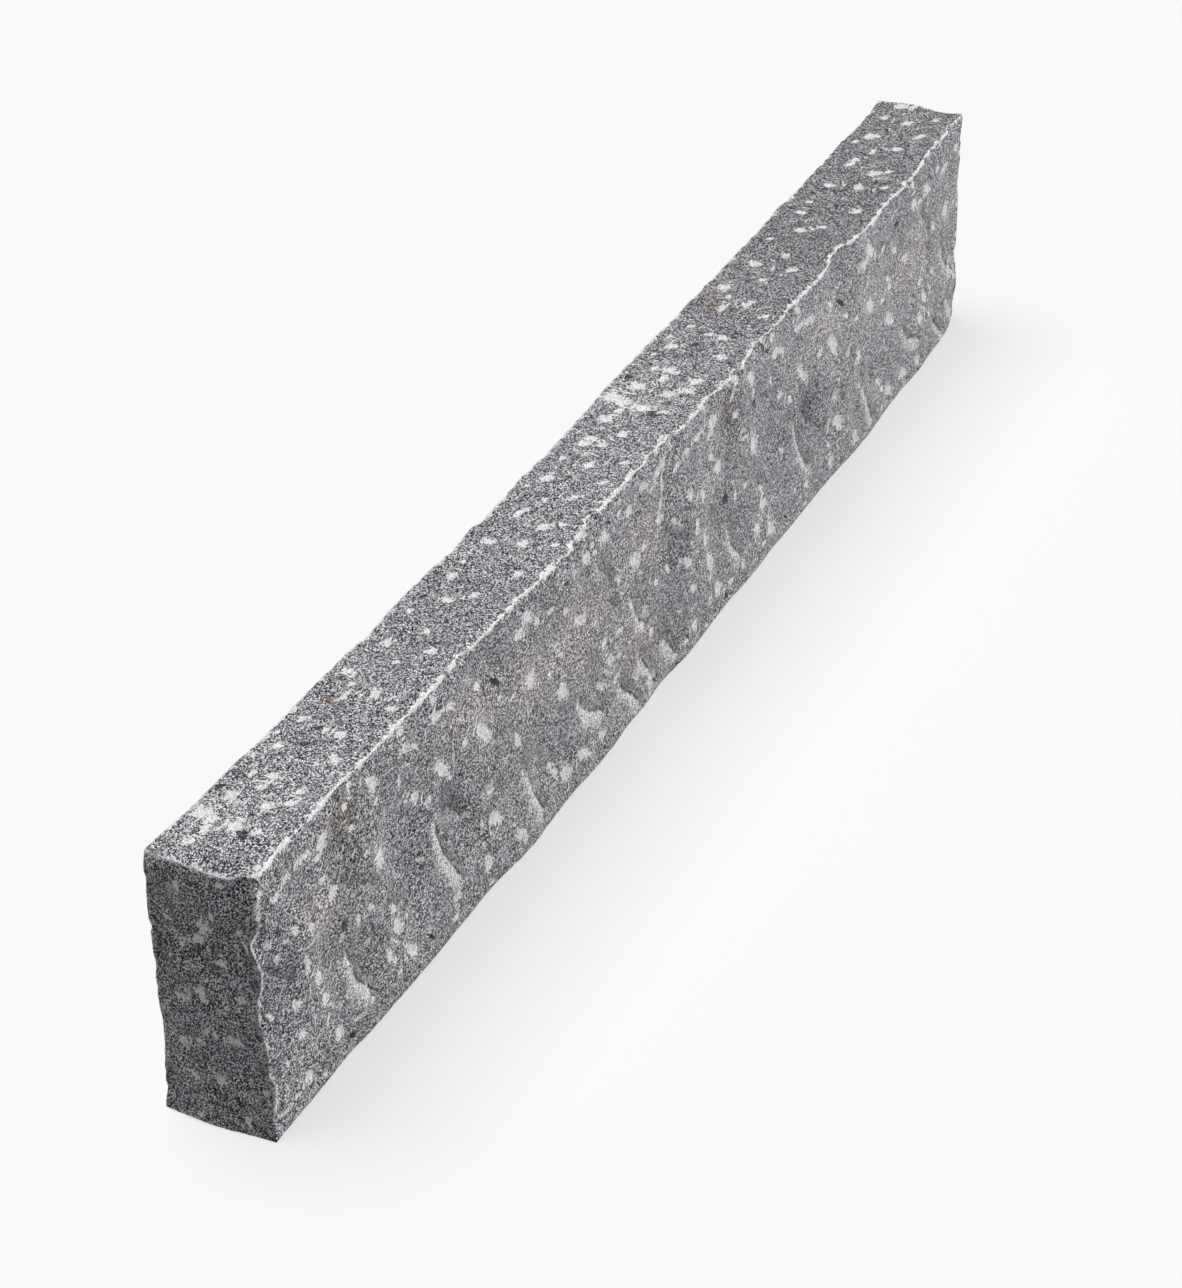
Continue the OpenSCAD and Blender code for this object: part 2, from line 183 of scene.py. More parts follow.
# Dark specks: face, along the run, height or place across, half length, half width, lean, darkness
DARK_SPECKS = (
    ("front", 250, 120, 6, 2, 54, 1.0), ("front", 78, 75, 4, 3, 30, 0.7),
    ("front", 100, 81, 2, 1, 60, 0.9), ("front", 77, 9, 3, 2, 60, 0.8),
    ("front", 462, 28, 6, 3, 65, 0.6), ("front", 410, 26, 6, 2, 70, 0.7),
    ("front", 120, 117, 2, 2, 60, 0.7), ("front", 338, 132, 2, 3, 0, 0.7),
    ("front", 398, 139, 3, 1, 50, 0.8), ("front", 375, 6, 2, 1, 60, 0.9),
    ("front", 161, 15, 3, 1, 50, 0.8), ("front", 366, 28, 2, 1, 60, 0.9),
    ("front", 240, 53, 2, 1, 60, 0.9), ("front", 195, 60, 6, 2, 48, 0.6),
    ("front", 480, 82, 5, 3, 60, 0.4), ("top", 63, 25, 3, 2, 60, 0.8), ("top", 31, -6, 3, 4, 20, 0.7),
    ("top", 225, -8, 3, 1, 60, 0.9), ("top", 112, 6, 3, 2, 60, 0.7), ("top", 100, 2, 2, 1, 0, 0.8),
    ("top", 47, -8, 2, 2, 0, 0.5), ("top", 76, -4, 2, 2, 0, 0.5), ("top", 127, 7, 2, 2, 0, 0.6),
    ("top", 75, 28, 2, 2, 0, 0.4),
)

# Soft patches, partly the stone's own tone and partly painted light and shade of its relief: face, along the
# run, height or place across, half length, half width, lean, how much lighter than the rest as a share, and
# how much browner
TONE_AND_PAINTED_LIGHT_PATCHES = (
    ("front", 12, 80, 30, 24, 0, -0.16, -0.3), ("front", 86, 128, 26, 16, 0, -0.19, 0.1),
    ("front", 88, 131, 9, 6, 60, -0.1, 1.4), ("front", 148, 82, 26, 13, 10, -0.14, -0.3),
    ("front", 196, 72, 22, 14, 20, -0.2, -0.2), ("front", 72, 76, 12, 12, 0, -0.12, 0.0),
    ("front", 94, 52, 12, 12, 30, -0.12, 0.0), ("front", 55, 96, 18, 12, 60, 0.12, 0.4),
    ("front", 50, 62, 24, 8, 10, 0.1, 0.3), ("front", 118, 90, 12, 10, 0, 0.08, 0.4),
    ("front", 225, 112, 26, 16, 60, 0.14, 0.4), ("front", 278, 36, 26, 14, 30, 0.06, 0.3),
    ("front", 290, 98, 22, 16, 60, 0.14, 0.5), ("front", 356, 94, 32, 20, 90, 0.16, 0.5),
    ("front", 432, 42, 36, 18, 30, 0.1, 0.6), ("front", 455, 100, 24, 18, 90, 0.08, 0.5),
    ("front", 462, 38, 9, 8, 0, -0.14, 0.2), ("front", 55, 13, 10, 8, 90, -0.12, 0.0),
    ("front", 200, 148, 60, 8, 90, -0.08, -0.2), ("front", 400, 146, 60, 8, 90, -0.08, -0.2),
    ("front", 70, 22, 80, 26, 90, -0.05, 0.0), ("top", 40, 8, 26, 18, 90, 0.08, 0.0),
    ("top", 150, 0, 34, 16, 90, -0.05, 0.0), ("top", 280, 0, 40, 18, 90, -0.04, 0.0),
    ("top", 400, 4, 40, 18, 90, 0.03, 0.0),
)

# Specks of rust on the top: along the run, place across, half length, half width, lean
RUST_SPECKS = ((154, 16, 3, 1, -20), (172, 24, 2, 1, 30), (237, 1, 2, 0.6, 80), (157, -26, 2, 0.6, 60))

# Nicks knocked out of the arrises at the near end: place along the stone from its near end, across, height,
# reach, depth and which way the stone was driven in
NICKS = (
    (2, -5, 152, 18, 2.4, (0, 0, -1)), (2, 9, 152, 8, 1.6, (0.5, 0, -1)),
    (2, -17, 152, 7, 1.4, (0, 0, -1)), (1, -26, 150, 9, 3.4, (1, 0.3, 0)),
    (2, 27, 152, 7, 1.6, (0.6, -0.3, -1)), (2, -30, 116, 11, 1.8, (0, 1, 0)),
    (2, -30, 70, 9, 1.6, (0, 1, 0)), (2, -31, 38, 8, 1.4, (0.4, 1, 0)),
    (3, -29, 132, 6, 1.3, (0, 1, 0)),
)


class Term:
    """A socket's value. Sums, products and the like on it add the Math nodes that work them out."""

    def __init__(self, graph, socket):
        self.graph, self.socket = graph, socket

    def work(self, operation, *values):
        vector = any(isinstance(v, Term) and v.socket.type in ("VECTOR", "RGBA") for v in values)
        kind = "ShaderNodeVectorMath" if vector else "ShaderNodeMath"
        return self.graph.add(kind, dict(enumerate(values)), operation=operation)

    def __add__(self, other):
        return self.work("ADD", self, other)

    def __sub__(self, other):
        return self.work("SUBTRACT", self, other)

    def __rsub__(self, other):
        return self.work("SUBTRACT", other, self)

    def __mul__(self, other):
        return self.work("MULTIPLY", self, other)

    def __truediv__(self, other):
        return self.work("DIVIDE", self, other)

    def __pow__(self, other):
        return self.work("POWER", self, other)

    def __neg__(self):
        return self * -1

    __radd__ = __add__
    __rmul__ = __mul__

    def dot(self, other):
        return self.graph.add("ShaderNodeVectorMath", {0: self, 1: other}, "Value", operation="DOT_PRODUCT")

    def cross(self, other):
        return self.work("CROSS_PRODUCT", self, other)

    def noise(self, size, detail=2.0, rough=0.5, salt=0.0, out="Fac"):
        """Cloudy noise of this size at this place, which another salt changes altogether."""
        place = self + (salt, salt, salt)
        values = {"Vector": place, "Scale": 1 / size, "Detail": detail, "Roughness": rough}
        return self.graph.add("ShaderNodeTexNoise", values, out)

    def other(self, name):
        """Another output of the node that this value comes from."""
        return Term(self.graph, self.graph.pick(self.socket.node.outputs, name))

    def length(self):
        return self.graph.add("ShaderNodeVectorMath", {0: self}, "Value", operation="LENGTH")

    def at_least(self, other):
        return self.work("MAXIMUM", self, other)

    def at_most(self, other):
        return self.work("MINIMUM", self, other)

    def rise(self, start, end):
        """0 up to start, 1 from end on, and an even slope eased at both ends between them."""
        return self.graph.add(
            "ShaderNodeMapRange",
            {"Value": self, "From Min": start, "From Max": end},
            interpolation_type="SMOOTHSTEP",
        )


class Graph:
    """Adds nodes to a tree: a node's settings first, then the values or links of its sockets."""

    def __init__(self, tree):
        self.tree = tree

    def add(self, kind, sockets=(), out=0, stops=None, **settings):
        node = self.tree.nodes.new(kind)
        for name, value in settings.items():
            setattr(node, name, value)
        if stops:
            ramp = node.color_ramp.elements
            while len(ramp) < len(stops):
                ramp.new(0.5)
            for element, (place, colour) in zip(ramp, stops):
                element.position = place
                element.color = (*colour, 1)
        for name, value in dict(sockets).items():
            self.put(self.pick(node.inputs, name), value)
        return Term(self, self.pick(node.outputs, out)) if len(node.outputs) else None

    def parts(self, vector):
        """The three numbers of a vector."""
        first = self.add("ShaderNodeSeparateXYZ", {0: vector}, "X")
        return first, first.other("Y"), first.other("Z")

    def pick(self, sockets, name):
        shown = [s for s in sockets if s.enabled]
        return shown[name] if isinstance(name, int) else next(s for s in shown if s.name == name)

    def put(self, socket, value):
        if isinstance(value, (list, tuple)) and any(isinstance(v, Term) for v in value):
            for each in value:
                self.put(socket, each)
        elif isinstance(value, Term):
            self.tree.links.new(value.socket, socket)
        elif socket.type == "VECTOR" and isinstance(value, (int, float)):
            socket.default_value = (value, value, value)
        elif socket.type == "RGBA":
            socket.default_value = (*value, 1)
        else:
            socket.default_value = value


# ---------------------------------------------------------------- marks on the stone


def on_front(along, height):
    return Vector((START + along * MM, LOW.y, height * MM))


def on_top(along, across):
    return Vector((START + along * MM, across * MM - sway(along * MM), HIGH.z))


def on_near(across, height):
    return Vector((LOW.x, across * MM, height * MM))


def sway(along):
    """How far the stone bows forward at this place along it, in metres."""
    return BOW * (1 - (2 * along - 1) ** 2)


def slanted(right, up, lean):
    """The direction that leans this far from up, away from right."""
    turn = math.radians(lean)
    return (up * math.cos(turn) - right * math.sin(turn)).normalized()


def in_runs(along, height, sinks=True):
    """A place of the list in each run that reaches it: along, height and how far the run is drawn out."""
    for start, drawn, drop, slope in RUNS:
        place = start + along * drawn
        if place < (HIGH.x - LOW.x) / MM - 4:
            yield place, height - (drop + slope * along) * sinks, drawn


def listed_marks():
    """Each mark with a place of its own: where, long axis, outward, half sizes, paleness, darkness, rust."""
    x, y, z = Vector((1, 0, 0)), Vector((0, 1, 0)), Vector((0, 0, 1))
    rows = [("front", *b, 0, 0) for b in FRONT_BRUISES] + [("top", *b, 0, 0) for b in TOP_BRUISES]
    rows += [(face, a, h, p, q, lean, 0, dark, 0) for face, a, h, p, q, lean, dark in DARK_SPECKS]
    rows += [("top", a, h, p, q, lean, 0, 0, 1) for a, h, p, q, lean in RUST_SPECKS]
    for face, along, over, long, wide, lean, pale, dark, rust in rows:
        for place, height, drawn in in_runs(along, over, face == "front"):
            if face == "front":
                where, axis, outward = on_front(place, height), slanted(x, z, lean), -y
            else:
                where, axis, outward = on_top(place, height), slanted(x, y, lean), z
            half = (long * drawn * MM, wide * drawn ** 0.5 * MM)
            yield where, axis, outward, half, pale, dark, rust
    for across, height, long, wide, lean, pale in NEAR_BRUISES:
        yield on_near(across, height), slanted(-y, z, lean), -x, (long * MM, wide * MM), pale, 0, 0


def helper(name, points, edges, **vectors):
    """A mesh of loose points or wires that carries vectors into a node tree."""
    mesh = bpy.data.meshes.new(name)
    mesh.from_pydata(points, edges, [])
    for key, values in vectors.items():
        data = mesh.attributes.new(key, "FLOAT_VECTOR", "POINT").data
        data.foreach_set("vector", [number for value in values for number in value])
    thing = bpy.data.objects.new(name, mesh)
    bpy.context.scene.collection.objects.link(thing)
    return thing


def mark_points():
    """The listed marks as points."""
    marks = list(listed_marks())
    return helper(
        "marks", [m[0] for m in marks], [], axis=[m[1] for m in marks], outward=[m[2] for m in marks],
        half=[(*m[3], 0) for m in marks], tone=[m[4:7] for m in marks],
    )


def flake_wires():
    """The lips of the flakes as wires, on the front and, turned over and weaker, on the back."""
    points, edges, tones = [], [], []
    middle = LOW.x + HIGH.x
    for depth, pale, line in FLAKES:
        places = [list(in_runs(a, h)) for a, h in line]
        for run in range(min(len(p) for p in places)):
            front = [on_front(*p[run][:2]) for p in places]
            back = [Vector((middle - p.x, HIGH.y, HIGH.z - p.z)) for p in front]
            for wire, strength, side in ((front, 1.0, 1), (back, 0.6, -1)):
                first = len(points)
                points += wire
                edges += [(first + i, first + i + 1) for i in range(len(wire) - 1)]
                for place in range(len(wire)):
                    swell = (0.7 + 0.5 * place / (len(wire) - 1)) * (1 - 0.25 * run)
                    tones.append((depth * MM * strength, pale * strength * swell, side))
    return helper("flakes", points, edges, tone=tones)


# ---------------------------------------------------------------- the hewn skin


def hewing_tree():
    """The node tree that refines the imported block, seats the marks on it and sinks its skin."""
    tree = bpy.data.node_groups.new("hewing", "GeometryNodeTree")
    face = tree.interface
    face.new_socket("Geometry", in_out="INPUT", socket_type="NodeSocketGeometry")
    face.new_socket("Geometry", in_out="OUTPUT", socket_type="NodeSocketGeometry")
    for name, kind in (
        ("Fineness", "Int"), ("Relief Height", "Float"), ("Lump Size", "Float"), ("Pit Depth", "Float"),
        ("Mark Depth", "Float"), ("Arris Wear", "Float"), ("Mark Spacing", "Float"), ("Seed", "Int"),
        ("Marks", "Object"), ("Flakes", "Object"), ("Granite", "Material"),
    ):
        face.new_socket(name, in_out="INPUT", socket_type=f"NodeSocket{kind}")
    graph = Graph(tree)
    given = tree.nodes.new("NodeGroupInput")
    inputs = {s.name: Term(graph, s) for s in given.outputs if s.name}
    block = inputs["Geometry"]

    # The arrises of the block, as wires that the wear is measured from
    turn = graph.add("GeometryNodeInputMeshEdgeAngle")
    sharp = graph.add("FunctionNodeCompare", {0: turn, 1: SHARP}, data_type="FLOAT", operation="GREATER_THAN")
    lines = graph.add("GeometryNodeMeshToCurve", {"Mesh": block, "Selection": sharp})
    arrises = graph.add("GeometryNodeCurveToMesh", {"Curve": lines})

    # The skin, finer and smooth
    skin = graph.add(
        "GeometryNodeSubdivisionSurface",
        {"Mesh": block, "Level": inputs["Fineness"], "Edge Crease": sharp * 0.55},
    )
    where = graph.add("GeometryNodeInputPosition")
    normal = graph.add("GeometryNodeInputNormal")
    from_arris = graph.add(
        "GeometryNodeProximity", {0: arrises, "Sample Position": where}, "Distance", target_element="EDGES"
    )

    # Marks with a place of their own, and others spread over the faces that have none
    listed = graph.add("GeometryNodeObjectInfo", {"Object": inputs["Marks"]}, "Geometry")
    listed = graph.add("GeometryNodeMeshToPoints", {"Mesh": listed})
    seat = graph.add(
        "GeometryNodeProximity", {0: block, "Sample Position": where}, "Position", target_element="FACES"
    )
    listed = graph.add("GeometryNodeSetPosition", {"Geometry": listed, "Position": seat})
    hidden = normal.dot((0.2, 1.0, -0.3)).rise(0.24, 0.26)
    far_end = normal.dot((1.0, 0.0, 0.0)).rise(0.6, 0.7)
    spread = graph.add(
        "GeometryNodeDistributePointsOnFaces",
        {"Mesh": block, "Selection": hidden.at_least(far_end).rise(0.4, 0.6), "Density Factor": 1.0,
         "Distance Min": inputs["Mark Spacing"], "Density Max": 2200.0, "Seed": inputs["Seed"]},
        "Points",
        distribute_method="POISSON",
    )
    face_normal = graph.add("GeometryNodeInputNormal")
    outward = spread.other("Normal")

    def thrown(low, high, salt, kind="FLOAT"):
        return graph.add(
            "FunctionNodeRandomValue", {"Min": low, "Max": high, "Seed": salt}, "Value", data_type=kind
        )

    def stored(geometry, name, value, kind="FLOAT_VECTOR"):
        return graph.add(
            "GeometryNodeStoreNamedAttribute", {"Geometry": geometry, "Name": name, "Value": value},
            data_type=kind, domain="POINT",
        )

    def kept(name, kind="FLOAT_VECTOR"):
        return graph.add("GeometryNodeInputNamedAttribute", {"Name": name}, "Attribute", data_type=kind)

    tangent = outward.cross(thrown((-1, -1, -1), (1, 1, 1), 3, "FLOAT_VECTOR"))
    tangent = graph.add("ShaderNodeVectorMath", {0: tangent}, operation="NORMALIZE")
    spread = stored(spread, "axis", tangent)
    spread = stored(spread, "outward", outward)
    spread = stored(spread, "half", thrown((0.003, 0.002, 0.0), (0.008, 0.0045, 0.0), 5, "FLOAT_VECTOR"))
    spread = stored(spread, "tone", thrown((0.1, 0.0, 0.0), (1.0, 0.0, 0.0), 7, "FLOAT_VECTOR"))
    marks = graph.add("GeometryNodeJoinGeometry", {"Geometry": [listed, spread]})

    # The nearest mark to each place of the skin, and the place measured in that mark's own sizes
    def nearest_of(points):
        nearest = graph.add(
            "GeometryNodeSampleNearest", {"Geometry": points, "Sample Position": where}, domain="POINT"
        )
        return lambda value: graph.add(
            "GeometryNodeSampleIndex", {"Geometry": points, "Value": value, "Index": nearest},
            data_type="FLOAT_VECTOR", domain="POINT",
        )

    at_mark = nearest_of(marks)
    off = where - at_mark(where)
    axis, out, half, tone = (at_mark(kept(name)) for name in ("axis", "outward", "half", "tone"))
    long, wide, _ = graph.parts(half)
    inside = graph.add(
        "ShaderNodeCombineXYZ",
        {"X": off.dot(axis) / long, "Y": off.dot(axis.cross(out)) / wide, "Z": off.dot(out) / MARK_THICKNESS},
    )
    pale, _, _ = graph.parts(tone)
    struck = (1 - inside.length().rise(0.3, 1.1)) * pale

    # The nearest flake lip: how far to its flake's side of it, and how far past its ends
    lips = graph.add("GeometryNodeObjectInfo", {"Object": inputs["Flakes"]}, "Geometry")
    lips = graph.add("GeometryNodeSetPosition", {"Geometry": lips, "Position": seat})
    lip_place = graph.add(
        "GeometryNodeProximity", {0: lips, "Sample Position": where}, "Position", target_element="EDGES"
    )
    lip_depth, lip_pale, lip_turn = graph.parts(nearest_of(lips)(kept("tone")))
    away = where - lip_place
    to_flake = away.dot(FLAKE_WAY) * lip_turn
    past = (away.dot(away) - to_flake * to_flake).at_least(0.0) ** 0.5
    held = 1 - past.rise(0.001, 0.006)
    step = to_flake.rise(-0.0008, 0.0022) * (1 - to_flake.rise(0.003, 0.016)) * held * lip_depth * 0.7

    # What the point and the splitting leave: rolls, chipped lumps, pits, and nibbled arrises
    flat = 1 - 0.85 * normal.dot((0, 0, -1)).rise(0.5, 0.9)

    over_lump = graph.add("ShaderNodeMath", {0: 1.0, 1: inputs["Lump Size"]}, operation="DIVIDE")
    lumps = graph.add(
        "ShaderNodeTexNoise", {"Vector": where, "Scale": over_lump, "Detail": 3.0, "Roughness": 0.6}, "Fac"
    )
    pits = graph.add(
        "ShaderNodeTexVoronoi", {"Vector": where + where.noise(0.02) * 0.012, "Scale": 95.0}, "Distance",
        feature="F1",
    )
    pitted = (1 - pits.rise(0.1, 0.75)) * where.noise(0.03, salt=4.0).rise(0.45, 0.6)
    depth = lumps.rise(0.2, 0.8) * inputs["Relief Height"] * flat + pitted * inputs["Pit Depth"] * flat
    depth = depth + struck * inputs["Mark Depth"] + step

    # Less of it towards the arrises and the bed, so that thin faces there don't fold over
    above_bed = where.dot((0.0, 0.0, 1.0))
    nibbled = where.noise(0.009, 3.0, 0.6, salt=9.0).rise(0.4, 0.7) * (1 - from_arris.rise(0.0, 0.004))
    depth = depth * (0.25 + 0.75 * from_arris.rise(0.0, 0.005)) + nibbled * inputs["Arris Wear"] * 0.15
    depth = depth * (0.1 + 0.9 * above_bed.rise(0.0, 0.006))

    # Chips off the arrises: each is as deep right across the faces that it takes in, so that they stay whole
    def chipped(place):
        bowls = graph.add("ShaderNodeTexVoronoi", {"Vector": place, "Scale": 75.0}, "Color", feature="F1")
        chance, _, _ = graph.parts(bowls)
        bowl = bowls.other("Distance")
        broad = graph.add("ShaderNodeTexNoise", {"Vector": place + (17.0, 17.0, 17.0), "Scale": 33.0}, "Fac")
        return (1 - bowl.rise(0.3, 0.75)) * chance.rise(0.4, 0.95) + broad.rise(0.35, 0.65) * 0.35

    along = where.dot((1.0, 0.0, 0.0))
    from_middle = along * 2 - (2 * START + 1)  # 0 at the middle of the stone, 1 and -1 at its ends
    across = where.dot((0.0, 1.0, 0.0)) + BOW - from_middle * from_middle * BOW
    wear = (1 - from_arris.rise(0.0, 0.012)) * inputs["Arris Wear"] * above_bed.rise(0.002, 0.014)
    inward = (across / -0.02).at_most(1.0).at_least(along.rise(-0.49, -0.46) * -0.5)
    chips = graph.add(
        "ShaderNodeCombineXYZ",
        {"X": chipped(where * (0.0, 1.0, 1.0)) * wear * (1 - along.rise(-0.5, -0.47)),
         "Y": chipped(where * (1.0, 0.0, 1.0)) * wear * inward},
    )

    # What the granite reads, in millimetres from the lips and arrises, and then the skin is sunk
    lip = graph.add("ShaderNodeCombineXYZ", {"X": to_flake / MM, "Y": past / MM, "Z": lip_pale})
    for name, value in (("mark", inside), ("mark_tone", tone), ("lip", lip), ("chips", chips)):
        skin = stored(skin, name, value)
    for name, value in (("arris", from_arris / MM), ("hollow", depth / MM)):
        skin = stored(skin, name, value, "FLOAT")
    sunk = graph.add(
        "ShaderNodeVectorMath", {0: face_normal, "Scale": -kept("hollow", "FLOAT") * MM}, operation="SCALE"
    )
    skin = graph.add("GeometryNodeSetPosition", {"Geometry": skin, "Offset": sunk + kept("chips")})
    skin = graph.add("GeometryNodeSetShadeSmooth", {"Geometry": skin})
    skin = graph.add("GeometryNodeRealizeInstances", {"Geometry": skin})
    skin = graph.add("GeometryNodeSetMaterial", {"Geometry": skin, "Material": inputs["Granite"]})
    end = tree.nodes.new("NodeGroupOutput")
    graph.put(end.inputs[0], skin)
    return tree


def welded_block():
    """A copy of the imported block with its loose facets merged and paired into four-sided ones."""
    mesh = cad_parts[NODE].data.copy()
    mesh.materials.clear()
    work = bmesh.new()
    work.from_mesh(mesh)
    bmesh.ops.remove_doubles(work, verts=work.verts[:], dist=1e-6)
    bmesh.ops.join_triangles(
        work, faces=work.faces[:],
        angle_face_threshold=math.radians(50), angle_shape_threshold=math.radians(60),
    )
    work.to_mesh(mesh)
    work.free()
    for name in [a.name for a in mesh.attributes if a.name.startswith(("custom_normal", "UV"))]:
        mesh.attributes.remove(mesh.attributes[name])
    block = bpy.data.objects.new("hewn_block", mesh)
    bpy.context.scene.collection.objects.link(block)
    return block


def patched(mesh):
    """Stores how much lighter (partly painted light and shade) and browner each place is, how far it turns
    from facing up, and how far it faces the near side.
    """
    count = len(mesh.vertices)
    place, normal = np.empty(count * 3), np.empty(count * 3)
    mesh.vertices.foreach_get("co", place)
    mesh.vertices.foreach_get("normal", normal)
    place, normal = place.reshape(-1, 3) / MM, normal.reshape(-1, 3)
    along = place[:, 0] - START / MM
    across = place[:, 1] + sway(along * MM) / MM
    faces = {"front": (place[:, 2], -normal[:, 1], 1), "top": (across, normal[:, 2], 0)}
    patch = np.zeros((count, 3))
    for face, centre, middle, long, wide, lean, light, brown in TONE_AND_PAINTED_LIGHT_PATCHES:
        over, facing, sinks = faces[face]
        turn = math.radians(lean)
        for start, drawn, drop, slope in RUNS:
            right = (along - start) / drawn - centre
            up = over + (drop + slope * centre) * sinks - middle
            u = (up * math.cos(turn) - right * math.sin(turn)) / long
            v = (up * math.sin(turn) + right * math.cos(turn)) / wide
            weight = np.exp(-(u * u + v * v)) * np.clip(facing * 3 - 1, 0, 1)
            patch[:, 0] += light * 1.5 * weight
            patch[:, 1] += brown * weight / (1 + sinks * (start > 0))
    front, top = np.clip(-normal[:, 1] * 3 - 1, 0, 1), np.clip(normal[:, 2] * 3 - 1, 0, 1)

    def grown(start, length):
        """0 up to a place along the stone, and 1 from this length further on."""
        return np.clip((along - start) / length, 0, 1)

    # Painted light and shade: the front lighter and the top darker towards the far end
    patch[:, 0] += front * 0.14 * grown(250, 250)
    patch[:, 0] -= top * (0.05 * grown(150, 150) + 0.2 * grown(560, 200))
    patch[:, 2] = np.clip(1.3 - normal[:, 2] * 2, 0.25, 1)
    end_on = np.clip(-normal[:, 0] * 2 - 0.6, 0, 1)
    mesh.attributes.new("patch", "FLOAT_VECTOR", "POINT").data.foreach_set("vector", patch.ravel())
    mesh.attributes.new("end_on", "FLOAT", "POINT").data.foreach_set("value", end_on)


def nicked(mesh):
    """Drives the skin in at each nick of the list, most at its middle."""
    place = np.empty(len(mesh.vertices) * 3)
    mesh.vertices.foreach_get("co", place)
    place = place.reshape(-1, 3)
    for along, across, height, reach, depth, way in NICKS:
        centre = np.array((LOW.x + along * MM, across * MM, height * MM))
        share = np.clip(1 - ((place - centre) ** 2).sum(axis=1) / (reach * MM) ** 2, 0, 1)
        place += share[:, None] * depth * MM * np.array(way) / np.linalg.norm(way)
    mesh.vertices.foreach_set("co", place.ravel())
    mesh.update()


# ---------------------------------------------------------------- granite


# Colours of the granite, from its darkest mineral to its lightest, those that lie over them, and a painted
# shade
MINERALS = (
    (0.0, (0.01, 0.009, 0.011)), (0.2, (0.03, 0.027, 0.033)), (0.38, (0.13, 0.124, 0.136)),
    (0.52, (0.25, 0.242, 0.256)), (0.68, (0.42, 0.411, 0.418)), (0.86, (0.72, 0.71, 0.705)),
    (1.0, (0.95, 0.94, 0.92)),
)
WORN = (0.31, 0.303, 0.315)
DUST = ((0.66, 0.65, 0.645), (1.0, 0.99, 0.975))
HALO = (0.5, 0.49, 0.49)
DARK_SPECK_COLOUR = (0.022, 0.02, 0.02)
RUST = (0.35, 0.13, 0.05)
# Painted shade, for the shadow in the step behind a flake's lip
PAINTED_SHADE = (0.05, 0.047, 0.05)


